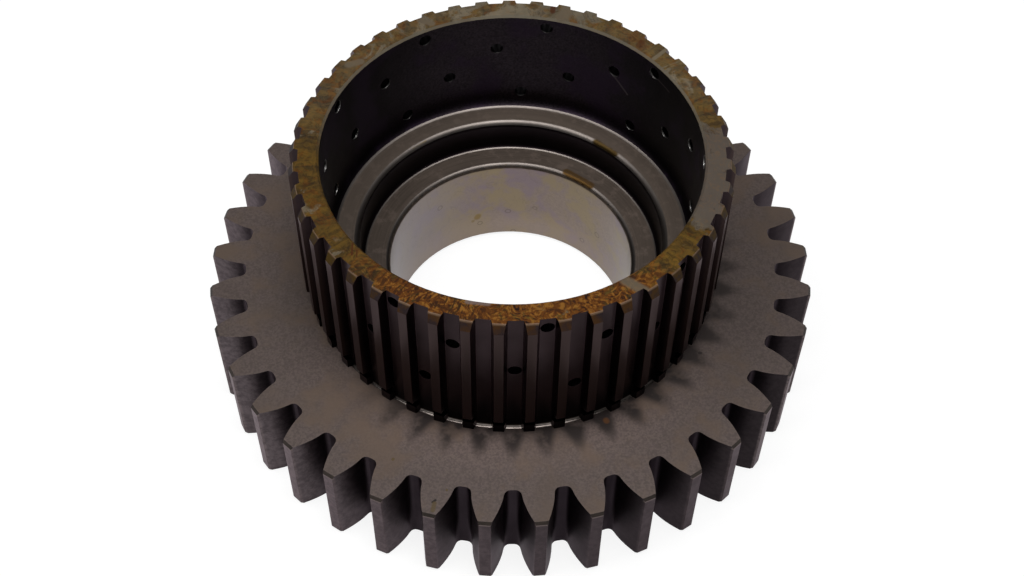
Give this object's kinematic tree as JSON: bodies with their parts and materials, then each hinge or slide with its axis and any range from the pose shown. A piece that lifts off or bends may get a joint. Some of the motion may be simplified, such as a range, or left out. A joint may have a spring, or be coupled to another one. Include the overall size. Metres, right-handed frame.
{
  "type": "gear",
  "caption": "Steel spur gear in one piece with an upright splined drum, drilled with radial oil holes and hollow inside, on a ground through bore.",
  "frame": {"origin": "on the bore axis, in the plane of the gear's underside", "axes": "+Z along the bore axis, from the gear towards the splined drum; a gap between two gear teeth is centred on -Y"},
  "size_m": [0.195, 0.1948, 0.0866],
  "materials": {
    "steel": "dark satin, machined, with oil stains"
  },
  "bodies": {
    "root": {"gear": "steel"}
  },
  "joints": []
}
